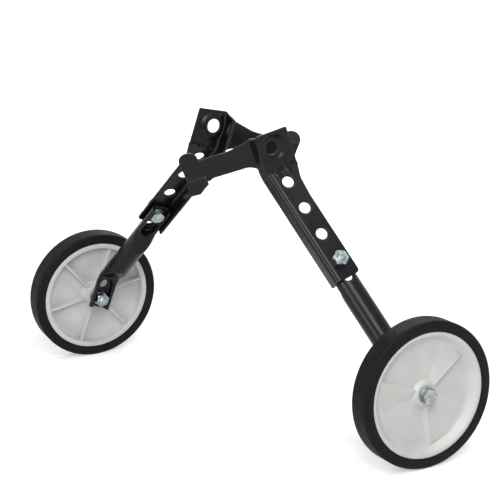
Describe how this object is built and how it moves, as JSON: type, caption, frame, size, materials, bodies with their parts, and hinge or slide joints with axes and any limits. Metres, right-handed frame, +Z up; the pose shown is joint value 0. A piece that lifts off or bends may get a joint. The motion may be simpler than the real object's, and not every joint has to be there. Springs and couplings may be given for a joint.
{
  "type": "bicycle training wheels",
  "caption": "Pair of bolt-on stabilisers for a child's bicycle: pressed bracket with hook, height-adjustable tube leg and small solid-tyred wheel.",
  "frame": {"origin": "on the ground under the middle of the bicycle's axle line, halfway between the two brackets", "axes": "+X along the bicycle's rear axle towards the right stabiliser, +Z up; the right stabiliser's leg leans to +Y and its hook points to -Y, the left one is the same turned half round about Z"},
  "size_m": [0.4004, 0.2568, 0.2692],
  "materials": {
    "black_coated_steel": "satin powder coat",
    "white_plastic": "satin",
    "black_rubber": "matte",
    "zinc_plated_steel": "bright zinc"
  },
  "bodies": {
    "frame": {"right_bracket": "black_coated_steel", "right_leg": "black_coated_steel", "right_height_bolt": "zinc_plated_steel", "right_height_washer": "zinc_plated_steel", "right_height_nut": "zinc_plated_steel", "right_axle_sleeve": "zinc_plated_steel", "right_axle_outer_washer": "zinc_plated_steel", "right_axle_inner_washer": "zinc_plated_steel", "right_axle_foot_washer": "zinc_plated_steel", "right_axle_bolt": "zinc_plated_steel", "right_axle_nut": "zinc_plated_steel", "left_bracket": "black_coated_steel", "left_leg": "black_coated_steel", "left_height_bolt": "zinc_plated_steel", "left_height_washer": "zinc_plated_steel", "left_height_nut": "zinc_plated_steel", "left_axle_sleeve": "zinc_plated_steel", "left_axle_outer_washer": "zinc_plated_steel", "left_axle_inner_washer": "zinc_plated_steel", "left_axle_foot_washer": "zinc_plated_steel", "left_axle_bolt": "zinc_plated_steel", "left_axle_nut": "zinc_plated_steel"},
    "right_wheel": {"right_wheel_disc": "white_plastic", "right_tyre": "black_rubber"},
    "left_wheel": {"left_wheel_disc": "white_plastic", "left_tyre": "black_rubber"}
  },
  "joints": [
    {"name": "right_wheel_spin", "type": "hinge", "parent": "frame", "child": "right_wheel", "pos_m": [0.1867, 0.06472, 0.06388], "axis": [0.9984, -0.0182, 0.0528], "continuous": true},
    {"name": "left_wheel_spin", "type": "hinge", "parent": "frame", "child": "left_wheel", "pos_m": [-0.1867, -0.06472, 0.06388], "axis": [-0.9984, 0.0182, 0.0528], "continuous": true}
  ]
}
